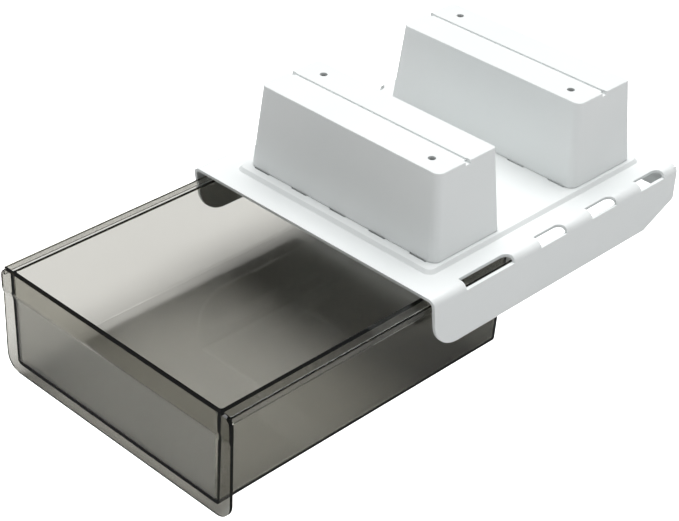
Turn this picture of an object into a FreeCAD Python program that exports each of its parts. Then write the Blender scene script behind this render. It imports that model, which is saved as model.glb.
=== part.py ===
import FreeCAD, Part
import math
import os

# Under desk drawer: a white carrier with two risers that go up against the underside of a
# desk, and a smoked see-through drawer that slides in the carrier on its two side rims.
# Millimetres. +X to the right, -Y to the front (the drawer opens towards -Y), +Z up.
# Z = 0 is the underside of the desk (the tops of the risers); Y = 0 is the middle of the
# carrier's depth.

# ---------------------------------------------------------------- driving dimensions
# carrier
carrier_w = 187.0          # over the outer faces of the skirts
carrier_d = 213.4
wall = 2.0                 # carrier and riser wall
bend_r = 4.5               # outer radius between plate and skirt
skirt_h = 34.0
skirt_nose_r = 20.0        # rounded lower front corner of the skirt
skirt_lean = 2.0           # how far the front edge of the skirt leans back towards it
tail_len = 26.5            # length of the sloping lower rear corner
tail_h = 22.3              # height of the skirt at its rear edge
stop_wall_h = 18.7         # rear wall that hangs from the plate
plateau_h = 2.2            # raised field under the risers
plateau_side = 1.85        # margin of its top beside the risers
plateau_end = 5.5          # margin of its top in front of and behind the risers
plateau_r = 3.5
plateau_foot = 1.8         # how far its sloping sides run out
plateau_edge_r = 0.5
slot_n = 4                 # slots along each side
slot_inset = 6.6           # inner edge of the side slots, from the outer face
slot_drop = 4.1            # how far the slots reach down over the bend
slot_len = 22.6
slot_front_len = 39.5
slot_start = 25.9          # front end of the first slot, from the front edge
slot_r = 5.0               # round inner corner at the rear of each slot
ledge_w = 5.0              # rail ledge on the inside of each skirt
ledge_t = 2.5
ledge_start = 8.0          # its front end, from the front edge
ledge_r = 4.0              # its rounded front corner
lip_gap = 0.4              # running clearance between ledge and rim lip
guide_x = 82.3             # guide rib under the plate that keeps the drawer from tipping
guide_t = 2.0
guide_start = 8.0
guide_gap = 0.8
tab_start = 5.5            # stop tab under the plate
tab_t = 2.0
tab_gap = 1.1

# risers
riser_h = 52.0
riser_w = 144.0            # at the base
riser_d = 53.4
riser_w_top = 134.7
riser_d_top = 46.0
riser_r = 5.5              # front vertical corners at the base
riser_r_top = 4.5
riser_r_rear = 2.4         # rear vertical corners at the base
riser_r_rear_top = 2.0
riser_r_in = 0.8           # rear corners of the hollow
riser_edge_r = 0.5         # edge round the top face
seam_h = 0.35              # shadow gap all round where a riser stands on the carrier
seam_deep = 0.6
riser_pitch = 117.0        # front riser to rear riser
riser_mid = 1.7            # middle of the pair, behind the middle of the carrier
top_t = 2.5
groove_w = 3.0
groove_deep = 1.0
notch_w = 3.8
notch_deep = 2.1
notch_long = 3.0
hole_d = 4.5
hole_x = 52.5              # holes left and right of the middle
hole_y = 12.1              # left hole behind, right hole in front of the middle
hook_n = 5                 # snap hooks along each long side
hook_pitch = 30.25
hook_w = 11.0
hook_t = 1.5
hook_inset = 0.25          # outer face of the hooks inside the outer face of the riser
hook_root = 1.0            # height of the hook that runs up inside the riser
hook_reach = 1.6           # how far a hook reaches below the plate
toe_len = 1.6
toe_gap = 0.2
hook_slot_w = 12.0         # slots in the carrier plate for the hooks
hook_slot_out = 0.9
hook_slot_in = 2.5

# drawer
rim_top = 5.7              # top of the drawer below the top face of the carrier plate
front_w = 178.8
front_h = 65.2
front_t = 2.1
front_proud = 0.9          # upper band of the front stands forward by this much
band_h = 12.0
band_blend = 5.0           # height of the S-shaped blend under the band
front_r_top = 5.0
front_r_low = 10.0
front_lap = 1.0            # how far tub and rims run into the front
tub_w = 164.8              # outside, at the top
tub_w_low = 162.0
tub_h = 59.2
tub_d = 211.4              # back face of the front to the rear wall, at the top
tub_rear_draft = 2.2
tub_r = 2.6                # vertical corners, outside
tub_r_in = 1.8
tub_wall = 2.0
foot_r = 2.5               # round the tub floor, outside
foot_r_in = 1.5
rim_w = 177.4              # over the two side rims
rim_t = 1.6
rim_root = 1.2             # overlap of the rim with the tub wall
rim_edge_r = 0.9
lip_h = 4.7
lip_t = 1.2
pulled_out = 139.4         # front face ahead of the carrier's front edge, as drawn
nib_x = 86.3               # end stop nib on the rim, in line with the stop tab
nib_w = 3.4
nib_start = 22.0           # front face of the nib, from the carrier's front edge
nib_h = 2.3
nib_flat = 1.5
nib_len = 5.0

over = 1.0                 # how far a cutting shape runs past the face it cuts
sunk = 0.5                 # how far an added shape starts inside its neighbour
tiny = 1e-4

# ---------------------------------------------------------------- derived positions
V = FreeCAD.Vector
diag = math.sqrt(0.5)
half_w = carrier_w / 2
y_front = -carrier_d / 2
y_rear = carrier_d / 2
z_plateau = -riser_h
z_plate = z_plateau - plateau_h
z_skirt = z_plate - skirt_h
z_rim = z_plate - rim_top
y_panel = y_front - pulled_out
y_tub = y_panel + front_t
z_lip = z_rim - lip_h
z_ledge = z_lip - lip_gap
z_floor = z_rim - tub_h
riser_y = [riser_mid - riser_pitch / 2, riser_mid + riser_pitch / 2]
hook_x = [(i - (hook_n - 1) / 2) * hook_pitch for i in range(hook_n)]


# ---------------------------------------------------------------- shapes
def box(x0, x1, y0, y1, z0, z1):
    return Part.makeBox(x1 - x0, y1 - y0, z1 - z0, V(x0, y0, z0))


def round_rect(x0, x1, y0, y1, r, z, r_rear=None):
    """Closed rounded rectangle at height z, with other rear corners where r_rear is given."""
    q = r if r_rear is None else r_rear
    corners = [(x1 - r, y0 + r, r, -45), (x1 - q, y1 - q, q, 45),
               (x0 + q, y1 - q, q, 135), (x0 + r, y0 + r, r, 225)]
    arcs = []
    for cx, cy, cr, middle in corners:
        turns = [math.radians(middle + step) for step in (-45, 0, 45)]
        arcs.append([V(cx + cr * math.cos(t), cy + cr * math.sin(t), z) for t in turns])
    edges = []
    for i in range(4):
        edges.append(Part.Arc(*arcs[i]).toShape())
        edges.append(Part.LineSegment(arcs[i][2], arcs[(i + 1) % 4][0]).toShape())
    return Part.Wire(edges)


def pad(x0, x1, y0, y1, r, z0, z1):
    face = Part.Face(round_rect(x0, x1, y0, y1, r, z0))
    return face.extrude(V(0, 0, z1 - z0))


def taper(low, high):
    """Solid between two rounded rectangles, each given as the values of round_rect."""
    return Part.makeLoft([round_rect(*low), round_rect(*high)], True, True)


def profile(points, along):
    """Closed outline through points, extruded. A point in a tuple is the middle of an arc."""
    edges = []
    last = points[0]
    i = 1
    while i < len(points):
        p = points[i]
        if isinstance(p, tuple):
            edges.append(Part.Arc(last, p[0], points[i + 1]).toShape())
            i += 1
            p = points[i]
        else:
            edges.append(Part.LineSegment(last, p).toShape())
        last = p
        i += 1
    if last.distanceToPoint(points[0]) > tiny:
        edges.append(Part.LineSegment(last, points[0]).toShape())
    return Part.Face(Part.Wire(edges)).extrude(along)


def fillet(shape, radius, pick):
    edges = [e for e in shape.Edges if pick(e.BoundBox)]
    return shape.makeFillet(radius, edges)


def level(z):
    """Picks the edges that lie flat at height z."""
    return lambda b: abs(b.ZMin - z) < tiny and abs(b.ZMax - z) < tiny


def flip(shape):
    return shape.mirror(V(0, 0, 0), V(1, 0, 0))


def one(shape):
    """A boolean result as a clean single solid."""
    shape = shape.removeSplitter()
    return shape.Solids[0] if len(shape.Solids) == 1 else shape


# ---------------------------------------------------------------- carrier
def u_section(half, top, bottom, r):
    k = r * diag
    y = y_front
    return profile([
        V(-half, y, bottom), V(-half, y, top - r),
        (V(-half + r - k, y, top - r + k),), V(-half + r, y, top),
        V(half - r, y, top),
        (V(half - r + k, y, top - r + k),), V(half, y, top - r),
        V(half, y, bottom)], V(0, carrier_d, 0))


def skirt_outline():
    """Side outline: leaning front edge, rounded nose, sloping corner at the rear."""
    x = -half_w - over
    r = skirt_nose_r
    k = r * diag
    y = y_front + skirt_lean
    return profile([
        V(x, y_front, z_plate + over), V(x, y_front, z_plate), V(x, y, z_skirt + r),
        (V(x, y + r - k, z_skirt + r - k),), V(x, y + r, z_skirt),
        V(x, y_rear - tail_len, z_skirt),
        V(x, y_rear, z_plate - tail_h),
        V(x, y_rear, z_plate + over)], V(carrier_w + 2 * over, 0, 0))


def rail():
    """Ledge, guide rib and stop tab of the right side."""
    x_in = half_w - wall - ledge_w
    x_out = half_w - wall / 2
    y_end = y_rear - wall / 2
    z_up = z_plate - wall / 2
    ledge = box(x_in, x_out, y_front + ledge_start, y_end, z_ledge - ledge_t, z_ledge)
    ledge = fillet(ledge, ledge_r, lambda b: b.XMax < x_in + tiny and b.YMax < 0 and b.ZLength > 1)
    guide = box(guide_x - guide_t / 2, guide_x + guide_t / 2,
                y_front + guide_start, y_end, z_rim + guide_gap, z_up)
    tab = box(nib_x - nib_w / 2, nib_x + nib_w / 2,
              y_front + tab_start, y_front + tab_start + tab_t, z_rim + tab_gap, z_up)
    return [ledge, guide, tab]


def side_slot(y, length):
    """Slot through the bend of the right side."""
    x_in = half_w - slot_inset
    cutter = box(x_in, half_w + slot_r, y, y + length, z_plate - slot_drop, z_plate + over)
    return fillet(cutter, slot_r,
                  lambda b: b.XMax < x_in + tiny and b.ZLength > 1 and b.YMin > y + tiny)


def make_carrier():
    shell = u_section(half_w, z_plate, z_skirt, bend_r)
    shell = shell.cut(u_section(half_w - wall, z_plate - wall, z_skirt - over, bend_r - wall))
    shell = shell.common(skirt_outline())
    # raised field under the risers: sloping sides, the same wall underneath
    px = riser_w / 2 + plateau_side
    py0 = riser_y[0] - riser_d / 2 - plateau_end
    py1 = riser_y[1] + riser_d / 2 + plateau_end
    f = plateau_foot * (plateau_h + sunk) / plateau_h
    field = taper((-px - f, px + f, py0 - f, py1 + f, plateau_r + f, z_plate - sunk),
                  (-px, px, py0, py1, plateau_r, z_plateau))
    shell = shell.fuse(fillet(field, plateau_edge_r, level(z_plateau)))
    shell = shell.cut(pad(-px + wall, px - wall, py0 + wall, py1 - wall, plateau_r - wall,
                          z_plate - wall - over, z_plateau - wall))
    # rear stop wall
    shell = shell.fuse(box(-half_w + wall / 2, half_w - wall / 2, y_rear - wall, y_rear,
                           z_plate - stop_wall_h, z_plate - wall / 2))
    for piece in rail():
        shell = shell.fuse(piece).fuse(flip(piece))
    y = y_front + slot_start
    for n in range(slot_n):
        length = slot_front_len if n == 0 else slot_len
        cutter = side_slot(y, length)
        shell = shell.cut(cutter).cut(flip(cutter))
        y += length + slot_len
    # slots for the snap hooks of the risers
    for ry in riser_y:
        for x in hook_x:
            for s in (-1, 1):
                y0, y1 = sorted((ry + s * (riser_d / 2 + hook_slot_out),
                                 ry + s * (riser_d / 2 - hook_slot_in)))
                shell = shell.cut(box(x - hook_slot_w / 2, x + hook_slot_w / 2, y0, y1,
                                      z_plate - wall, z_plateau + over))
    return one(shell)


# ---------------------------------------------------------------- riser
def snap_hook(x, ry, s):
    z_under = z_plateau - wall
    out = ry + s * (riser_d / 2 - hook_inset)
    leg = sorted((out, out - s * hook_t))
    toe = sorted((out, out - s * (hook_t + toe_len)))
    x0, x1 = x - hook_w / 2, x + hook_w / 2
    stem = box(x0, x1, leg[0], leg[1], z_under - hook_reach, z_plateau + hook_root)
    return stem.fuse(box(x0, x1, toe[0], toe[1], z_under - hook_reach, z_under - toe_gap))


def make_riser(ry):
    low = (-riser_w / 2, riser_w / 2, ry - riser_d / 2, ry + riser_d / 2,
           riser_r, z_plateau, riser_r_rear)
    high = (-riser_w_top / 2, riser_w_top / 2, ry - riser_d_top / 2, ry + riser_d_top / 2,
            riser_r_top, 0.0, riser_r_rear_top)
    body = fillet(taper(low, high), riser_edge_r, level(0.0))
    # hollow from below
    part_up = (riser_h - top_t) / riser_h
    dx = (riser_w - riser_w_top) / 2 * part_up
    dy = (riser_d - riser_d_top) / 2 * part_up
    hx = riser_w / 2 - wall
    hy = riser_d / 2 - wall
    body = body.cut(taper(
        (-hx, hx, ry - hy, ry + hy, riser_r - wall, z_plateau, riser_r_in),
        (-hx + dx, hx - dx, ry - hy + dy, ry + hy - dy, riser_r_top - wall, -top_t,
         riser_r_in)))
    # shadow gap at the foot
    ring = pad(-riser_w, riser_w, ry - riser_d, ry + riser_d, riser_r, z_plateau,
               z_plateau + seam_h)
    sx = riser_w / 2 - seam_deep
    sy = riser_d / 2 - seam_deep
    body = body.cut(ring.cut(pad(-sx, sx, ry - sy, ry + sy, riser_r - seam_deep,
                                 z_plateau - over, z_plateau + seam_h + over)))
    # groove along the top, deeper where it leaves at each end
    body = body.cut(box(-riser_w, riser_w, ry - groove_w / 2, ry + groove_w / 2,
                        -groove_deep, over))
    for s in (-1, 1):
        x0, x1 = sorted((s * (riser_w_top / 2 - notch_long), s * riser_w))
        body = body.cut(box(x0, x1, ry - notch_w / 2, ry + notch_w / 2, -notch_deep, over))
    # screw holes, on a diagonal
    for s in (-1, 1):
        foot = V(s * hole_x, ry - s * hole_y, -top_t - over)
        body = body.cut(Part.makeCylinder(hole_d / 2, top_t + 2 * over, foot))
    # snap hooks along both long sides
    for x in hook_x:
        for s in (-1, 1):
            body = body.fuse(snap_hook(x, ry, s))
    return one(body)


# ---------------------------------------------------------------- drawer
def make_front():
    """Front panel: outline with four round corners, upper band proud of the lower field."""
    half = front_w / 2
    z_low = z_rim - front_h
    y_band = y_panel - front_proud
    z0 = z_rim - band_h
    z1 = z0 - band_blend
    x = -half - over
    # the blend is two equal arcs that meet halfway
    arc_r = (front_proud ** 2 + band_blend ** 2) / (4 * front_proud)
    turn = math.asin(band_blend / 2 / arc_r) / 2
    bow = arc_r * (1 - math.cos(turn))
    run = arc_r * math.sin(turn)
    side = profile([
        V(x, y_tub, z_rim), V(x, y_band, z_rim), V(x, y_band, z0),
        (V(x, y_band + bow, z0 - run),),
        V(x, (y_band + y_panel) / 2, (z0 + z1) / 2),
        (V(x, y_panel - bow, z1 + run),),
        V(x, y_panel, z1), V(x, y_panel, z_low),
        V(x, y_tub, z_low)], V(front_w + 2 * over, 0, 0))
    a = front_r_top
    b = front_r_low
    ka = a * (1 - diag)
    kb = b * (1 - diag)
    y = y_band - over
    outline = profile([
        V(-half, y, z_low + b), V(-half, y, z_rim - a),
        (V(-half + ka, y, z_rim - ka),), V(-half + a, y, z_rim),
        V(half - a, y, z_rim),
        (V(half - ka, y, z_rim - ka),), V(half, y, z_rim - a),
        V(half, y, z_low + b),
        (V(half - kb, y, z_low + kb),), V(half - b, y, z_low),
        V(-half + b, y, z_low),
        (V(-half + kb, y, z_low + kb),), V(-half, y, z_low + b)],
        V(0, front_proud + front_t + 2 * over, 0))
    return side.common(outline)


def make_rim():
    """Right side rim with a lip turned down, and the end stop nib on it."""
    x_in = tub_w / 2 - rim_root
    x_out = rim_w / 2
    y0 = y_tub - front_lap
    y1 = y_tub + tub_d - tub_r
    rim = box(x_in, x_out, y0, y1, z_rim - rim_t, z_rim)
    rim = rim.fuse(box(x_out - lip_t, x_out, y0, y1, z_lip, z_rim)).removeSplitter()
    rim = fillet(rim, rim_edge_r,
                 lambda b: b.XMin > x_out - tiny and b.ZMin > z_rim - tiny and b.YLength > 10)
    x = nib_x - nib_w / 2
    y = y_front + nib_start
    nib = profile([
        V(x, y, z_rim - sunk), V(x, y, z_rim + nib_h),
        V(x, y + nib_flat, z_rim + nib_h), V(x, y + nib_len, z_rim),
        V(x, y + nib_len, z_rim - sunk)], V(nib_w, 0, 0))
    return rim.fuse(nib)


def make_drawer():
    # tub: drafted outside and inside
    y_lap = y_tub - front_lap
    y_start = y_tub - 4 * tub_r
    y_back = y_tub + tub_d
    y_low = y_back - tub_rear_draft
    tx = tub_w / 2
    tl = tub_w_low / 2
    tub = taper((-tl, tl, y_start, y_low, tub_r, z_floor),
                (-tx, tx, y_start, y_back, tub_r, z_rim))
    tub = fillet(tub, foot_r, level(z_floor))
    tub = tub.cut(box(-tub_w, tub_w, y_start - over, y_lap, z_floor - over, z_rim + over))
    body = make_front().fuse(tub)
    rim = make_rim()
    body = body.fuse(rim).fuse(flip(rim))
    w = tub_wall
    hollow = taper((-tl + w, tl - w, y_tub, y_low - w, tub_r_in, z_floor + w),
                   (-tx + w, tx - w, y_tub, y_back - w, tub_r_in, z_rim))
    return one(body.cut(fillet(hollow, foot_r_in, level(z_floor + w))))


parts = {
    "carrier": make_carrier(),
    "riser_front": make_riser(riser_y[0]),
    "riser_rear": make_riser(riser_y[1]),
    "drawer": make_drawer(),
}

os.makedirs("parts", exist_ok=True)
for name, shape in parts.items():
    shape.exportStep("parts/%s.step" % name)
    b = shape.BoundBox
    print(name, "valid", shape.isValid(), "solids", len(shape.Solids),
          "volume", round(shape.Volume),
          "box", [round(v, 1) for v in (b.XMin, b.YMin, b.ZMin, b.XMax, b.YMax, b.ZMax)])
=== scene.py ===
import bpy
import math
from mathutils import Matrix, Vector


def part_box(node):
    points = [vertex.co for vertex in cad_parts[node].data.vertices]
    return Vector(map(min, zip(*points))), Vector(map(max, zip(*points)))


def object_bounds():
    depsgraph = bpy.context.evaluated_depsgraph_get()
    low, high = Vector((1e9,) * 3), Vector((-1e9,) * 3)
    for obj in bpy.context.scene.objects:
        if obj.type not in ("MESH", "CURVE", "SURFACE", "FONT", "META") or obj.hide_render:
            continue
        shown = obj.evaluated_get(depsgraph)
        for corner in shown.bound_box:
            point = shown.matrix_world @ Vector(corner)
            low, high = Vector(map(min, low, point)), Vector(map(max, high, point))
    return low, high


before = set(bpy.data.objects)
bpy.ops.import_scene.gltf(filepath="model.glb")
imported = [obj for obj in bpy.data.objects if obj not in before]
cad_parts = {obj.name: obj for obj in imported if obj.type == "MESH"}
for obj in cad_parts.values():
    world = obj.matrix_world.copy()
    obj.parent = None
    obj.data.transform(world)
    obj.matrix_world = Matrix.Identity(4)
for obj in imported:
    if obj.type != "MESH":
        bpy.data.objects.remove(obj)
cad_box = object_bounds()

MM = 0.001
PLASTIC_IOR = 1.5

# white plastic
WHITE_DARK = (0.840, 0.868, 0.866, 1)
WHITE_LIGHT = (0.868, 0.890, 0.887, 1)
CLOUD = {"Scale": 14.0, "Detail": 3.0, "Roughness": 0.5}
CLOUD_LOW, CLOUD_HIGH = 0.3, 0.7
GRAIN = {"Scale": 1700.0, "Detail": 4.0, "Roughness": 0.6}
GRAIN_STRENGTH = 0.25
GRAIN_DEPTH = 0.02 * MM
WHITE_ROUGH_LOW, WHITE_ROUGH_HIGH = 0.36, 0.52

# smoked plastic
SMOKE_FACE = (0.96, 0.96, 0.955, 1)
SMOKE_BODY = (0.407, 0.386, 0.30, 1)
SMOKE_DENSITY = 290.0
CLEAR_ROUGH, FROST_ROUGH = 0.04, 0.42
HAZE_COLOUR = (0.52, 0.53, 0.53, 1)
HAZE_SHARE = 0.14

# frosted field in the middle of the drawer's front
NIB_H = 2.3 * MM           # the end-stop nibs rise this far above the drawer's rim
STEP_DROP = 14.5 * MM      # from the rim down to the middle of the slope under the raised band
FIELD_LIFT = 9.5 * MM      # from the drawer's underside up to the field
FIELD_HALF = 78.5 * MM     # half of the field's width
FACE_DEPTH = 1.8 * MM      # the field reaches this far behind the foremost plane
CRISP = 0.2 * MM           # half the width of its sharp edges
SOFT = 0.4 * MM            # half the width of its softer edges

# moulded edges
WELD_REACH = 0.002 * MM
EDGE_ROUND = 0.3 * MM
EDGE_STEPS = 2
EDGE_ANGLE = math.radians(35)

# floor and table
FLOOR_COLOUR = (0.93, 0.93, 0.93, 1)
FLOOR_ROUGH = 0.9
FLOOR_SHEEN = 0.1
FLOOR_SIZE = 30.0
FLOOR_DROP = 450 * MM      # the part hangs from a desk, well above the floor
TABLE_GAP = 0.05 * MM

# light, with angles in degrees
SKY_COLOUR = (0.97, 0.99, 1.0, 1)
SKY_STRENGTH = 0.17
SUN_SPREAD = 60
KEY_AZ, KEY_EL, KEY_STRENGTH = -150, 77, 3.3
FILL_AZ, FILL_EL, FILL_STRENGTH = 15, 15, 0.22

# camera, with angles in degrees
CAM_AZ, CAM_EL, CAM_ROLL = 42.98, 32.90, 2.84
CAM_DISTANCE = 1.065
CAM_AIM = Vector((-0.4, -77.3, -84.6)) * MM
CAM_LENS, CAM_SENSOR = 99.95, 36.0
CAM_SHIFT_X, CAM_SHIFT_Y = -0.0046, -0.0042


# ------------------------------------------------------------------ node helpers
def new_material(name):
    """An empty material, its node tree and its output node."""
    material = bpy.data.materials.new(name)
    material.use_nodes = True
    tree = material.node_tree
    tree.nodes.clear()
    return material, tree, tree.nodes.new("ShaderNodeOutputMaterial")


def add(tree, kind, **inputs):
    """A new node with some inputs set; an underscore in a name stands for a space."""
    node = tree.nodes.new(kind)
    for name, value in inputs.items():
        node.inputs[name.replace("_", " ")].default_value = value
    return node


def ramp(tree, value, start, end, low=0.0, high=1.0):
    """A value taken from start..end to low..high and held there beyond both ends."""
    node = add(tree, "ShaderNodeMapRange", From_Min=start, From_Max=end, To_Min=low, To_Max=high)
    tree.links.new(value, node.inputs["Value"])
    return node.outputs["Result"]


def maths(tree, operation, value):
    """A maths node with its first value linked."""
    node = tree.nodes.new("ShaderNodeMath")
    node.operation = operation
    tree.links.new(value, node.inputs[0])
    return node


def object_place(tree):
    return tree.nodes.new("ShaderNodeTexCoord").outputs["Object"]


def noise(tree, place, settings):
    node = add(tree, "ShaderNodeTexNoise", **settings)
    tree.links.new(place, node.inputs["Vector"])
    return node.outputs["Fac"]


# ------------------------------------------------------------------ materials
def white_tone(tree, place):
    """Two close whites, mixed in soft clouds."""
    mix = tree.nodes.new("ShaderNodeMix")
    mix.data_type = "RGBA"
    factor, dark, light, result = mix.inputs[0], mix.inputs[6], mix.inputs[7], mix.outputs[2]
    dark.default_value = WHITE_DARK
    light.default_value = WHITE_LIGHT
    cloud = noise(tree, place, CLOUD)
    tree.links.new(ramp(tree, cloud, CLOUD_LOW, CLOUD_HIGH), factor)
    return result


def white_plastic():
    material, tree, out = new_material("white_plastic")
    shader = add(tree, "ShaderNodeBsdfPrincipled", IOR=PLASTIC_IOR)
    place = object_place(tree)
    tree.links.new(white_tone(tree, place), shader.inputs["Base Color"])
    grain = noise(tree, place, GRAIN)
    rough = ramp(tree, grain, 0.0, 1.0, WHITE_ROUGH_LOW, WHITE_ROUGH_HIGH)
    tree.links.new(rough, shader.inputs["Roughness"])
    bump = add(tree, "ShaderNodeBump", Strength=GRAIN_STRENGTH, Distance=GRAIN_DEPTH)
    tree.links.new(grain, bump.inputs["Height"])
    tree.links.new(bump.outputs["Normal"], shader.inputs["Normal"])
    tree.links.new(shader.outputs["BSDF"], out.inputs["Surface"])
    return material


def frost_mask(tree):
    """1 on the frosted field of the drawer's front, 0 on the rest of the drawer."""
    split = tree.nodes.new("ShaderNodeSeparateXYZ")
    tree.links.new(object_place(tree), split.inputs["Vector"])
    across, along, height = split.outputs
    off_centre = maths(tree, "ABSOLUTE", across).outputs[0]
    low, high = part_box("drawer")
    face_y = low.y + FACE_DEPTH
    field_top = high.z - NIB_H - STEP_DROP
    field_foot = low.z + FIELD_LIFT
    parts = (
        ramp(tree, along, face_y + CRISP, face_y - CRISP),
        ramp(tree, height, field_top + CRISP, field_top - CRISP),
        ramp(tree, height, field_foot - SOFT, field_foot + SOFT),
        ramp(tree, off_centre, FIELD_HALF + SOFT, FIELD_HALF - SOFT),
    )
    mask = parts[0]
    for part in parts[1:]:
        product = maths(tree, "MULTIPLY", mask)
        tree.links.new(part, product.inputs[1])
        mask = product.outputs[0]
    return mask


def smoked_plastic():
    material, tree, out = new_material("smoked_plastic")
    frost = frost_mask(tree)
    clear = add(tree, "ShaderNodeBsdfPrincipled", IOR=PLASTIC_IOR, Transmission_Weight=1.0,
                Base_Color=SMOKE_FACE)
    rough = ramp(tree, frost, 0.0, 1.0, CLEAR_ROUGH, FROST_ROUGH)
    tree.links.new(rough, clear.inputs["Roughness"])
    body = add(tree, "ShaderNodeVolumeAbsorption", Color=SMOKE_BODY, Density=SMOKE_DENSITY)
    tree.links.new(body.outputs["Volume"], out.inputs["Volume"])

    # milky haze of the frosted field
    haze = add(tree, "ShaderNodeBsdfDiffuse", Color=HAZE_COLOUR)
    share = maths(tree, "MULTIPLY", frost)
    share.inputs[1].default_value = HAZE_SHARE
    mix = tree.nodes.new("ShaderNodeMixShader")
    tree.links.new(share.outputs[0], mix.inputs[0])
    tree.links.new(clear.outputs["BSDF"], mix.inputs[1])
    tree.links.new(haze.outputs["BSDF"], mix.inputs[2])
    tree.links.new(mix.outputs["Shader"], out.inputs["Surface"])
    return material


def floor_material():
    material, tree, out = new_material("floor")
    shader = add(tree, "ShaderNodeBsdfPrincipled", Base_Color=FLOOR_COLOUR, Roughness=FLOOR_ROUGH,
                 Specular_IOR_Level=FLOOR_SHEEN)
    tree.links.new(shader.outputs["BSDF"], out.inputs["Surface"])
    return material


# ------------------------------------------------------------------ CAD nodes
def soften(obj):
    """Merged corners, a small round along every hard edge, shading kept flat on the flats."""
    weld = obj.modifiers.new("weld", "WELD")
    weld.merge_threshold = WELD_REACH
    bevel = obj.modifiers.new("bevel", "BEVEL")
    bevel.width = EDGE_ROUND
    bevel.segments = EDGE_STEPS
    bevel.limit_method = "ANGLE"
    bevel.angle_limit = EDGE_ANGLE
    bevel.harden_normals = True


white = white_plastic()
smoked = smoked_plastic()
for name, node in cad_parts.items():
    node.data.materials.clear()
    node.data.materials.append(smoked if name == "drawer" else white)
    soften(node)


# ------------------------------------------------------------------ floor and table
def ground(name, z, material):
    """A large level plane that is left out of glossy reflections."""
    bpy.ops.mesh.primitive_plane_add(size=FLOOR_SIZE, location=(0, 0, z))
    plane = bpy.context.object
    plane.name = name
    plane.data.materials.append(material)
    plane.visible_glossy = False
    return plane


underside = cad_box[0].z
pale = floor_material()
ground("floor", underside - FLOOR_DROP, pale)
# the table is seen only through the drawer, with its shadows, and throws light back on the part
table = ground("table", underside - TABLE_GAP, pale)
table.visible_camera = False
table.visible_shadow = False


# ------------------------------------------------------------------ light
def toward(azimuth, elevation):
    """The unit vector toward a place in the sky: azimuth 0 is the front and 90 the right."""
    a, e = math.radians(azimuth), math.radians(elevation)
    return Vector((math.sin(a) * math.cos(e), -math.cos(a) * math.cos(e), math.sin(e)))


def sun(name, azimuth, elevation, strength):
    data = bpy.data.lights.new(name, "SUN")
    data.energy = strength
    data.angle = math.radians(SUN_SPREAD)
    obj = bpy.data.objects.new(name, data)
    obj.rotation_mode = "QUATERNION"
    obj.rotation_quaternion = toward(azimuth, elevation).to_track_quat("Z", "Y")
    bpy.context.scene.collection.objects.link(obj)


world = bpy.data.worlds.new("studio")
bpy.context.scene.world = world
world.use_nodes = True
background = world.node_tree.nodes["Background"]
background.inputs["Color"].default_value = SKY_COLOUR
background.inputs["Strength"].default_value = SKY_STRENGTH
sun("key", KEY_AZ, KEY_EL, KEY_STRENGTH)
sun("fill", FILL_AZ, FILL_EL, FILL_STRENGTH)


# ------------------------------------------------------------------ camera
def add_camera():
    back = toward(CAM_AZ, CAM_EL)
    azimuth, roll = math.radians(CAM_AZ), math.radians(CAM_ROLL)
    level = Vector((math.cos(azimuth), math.sin(azimuth), 0))
    right = level * math.cos(roll) + back.cross(level) * math.sin(roll)
    turn = Matrix((right, back.cross(right), back)).transposed()
    data = bpy.data.cameras.new("camera")
    data.lens = CAM_LENS
    data.sensor_width = CAM_SENSOR
    data.shift_x = CAM_SHIFT_X
    data.shift_y = CAM_SHIFT_Y
    camera = bpy.data.objects.new("camera", data)
    camera.matrix_world = Matrix.Translation(CAM_AIM + back * CAM_DISTANCE) @ turn.to_4x4()
    bpy.context.scene.collection.objects.link(camera)
    bpy.context.scene.camera = camera


add_camera()
bpy.context.scene.view_settings.view_transform = "Standard"
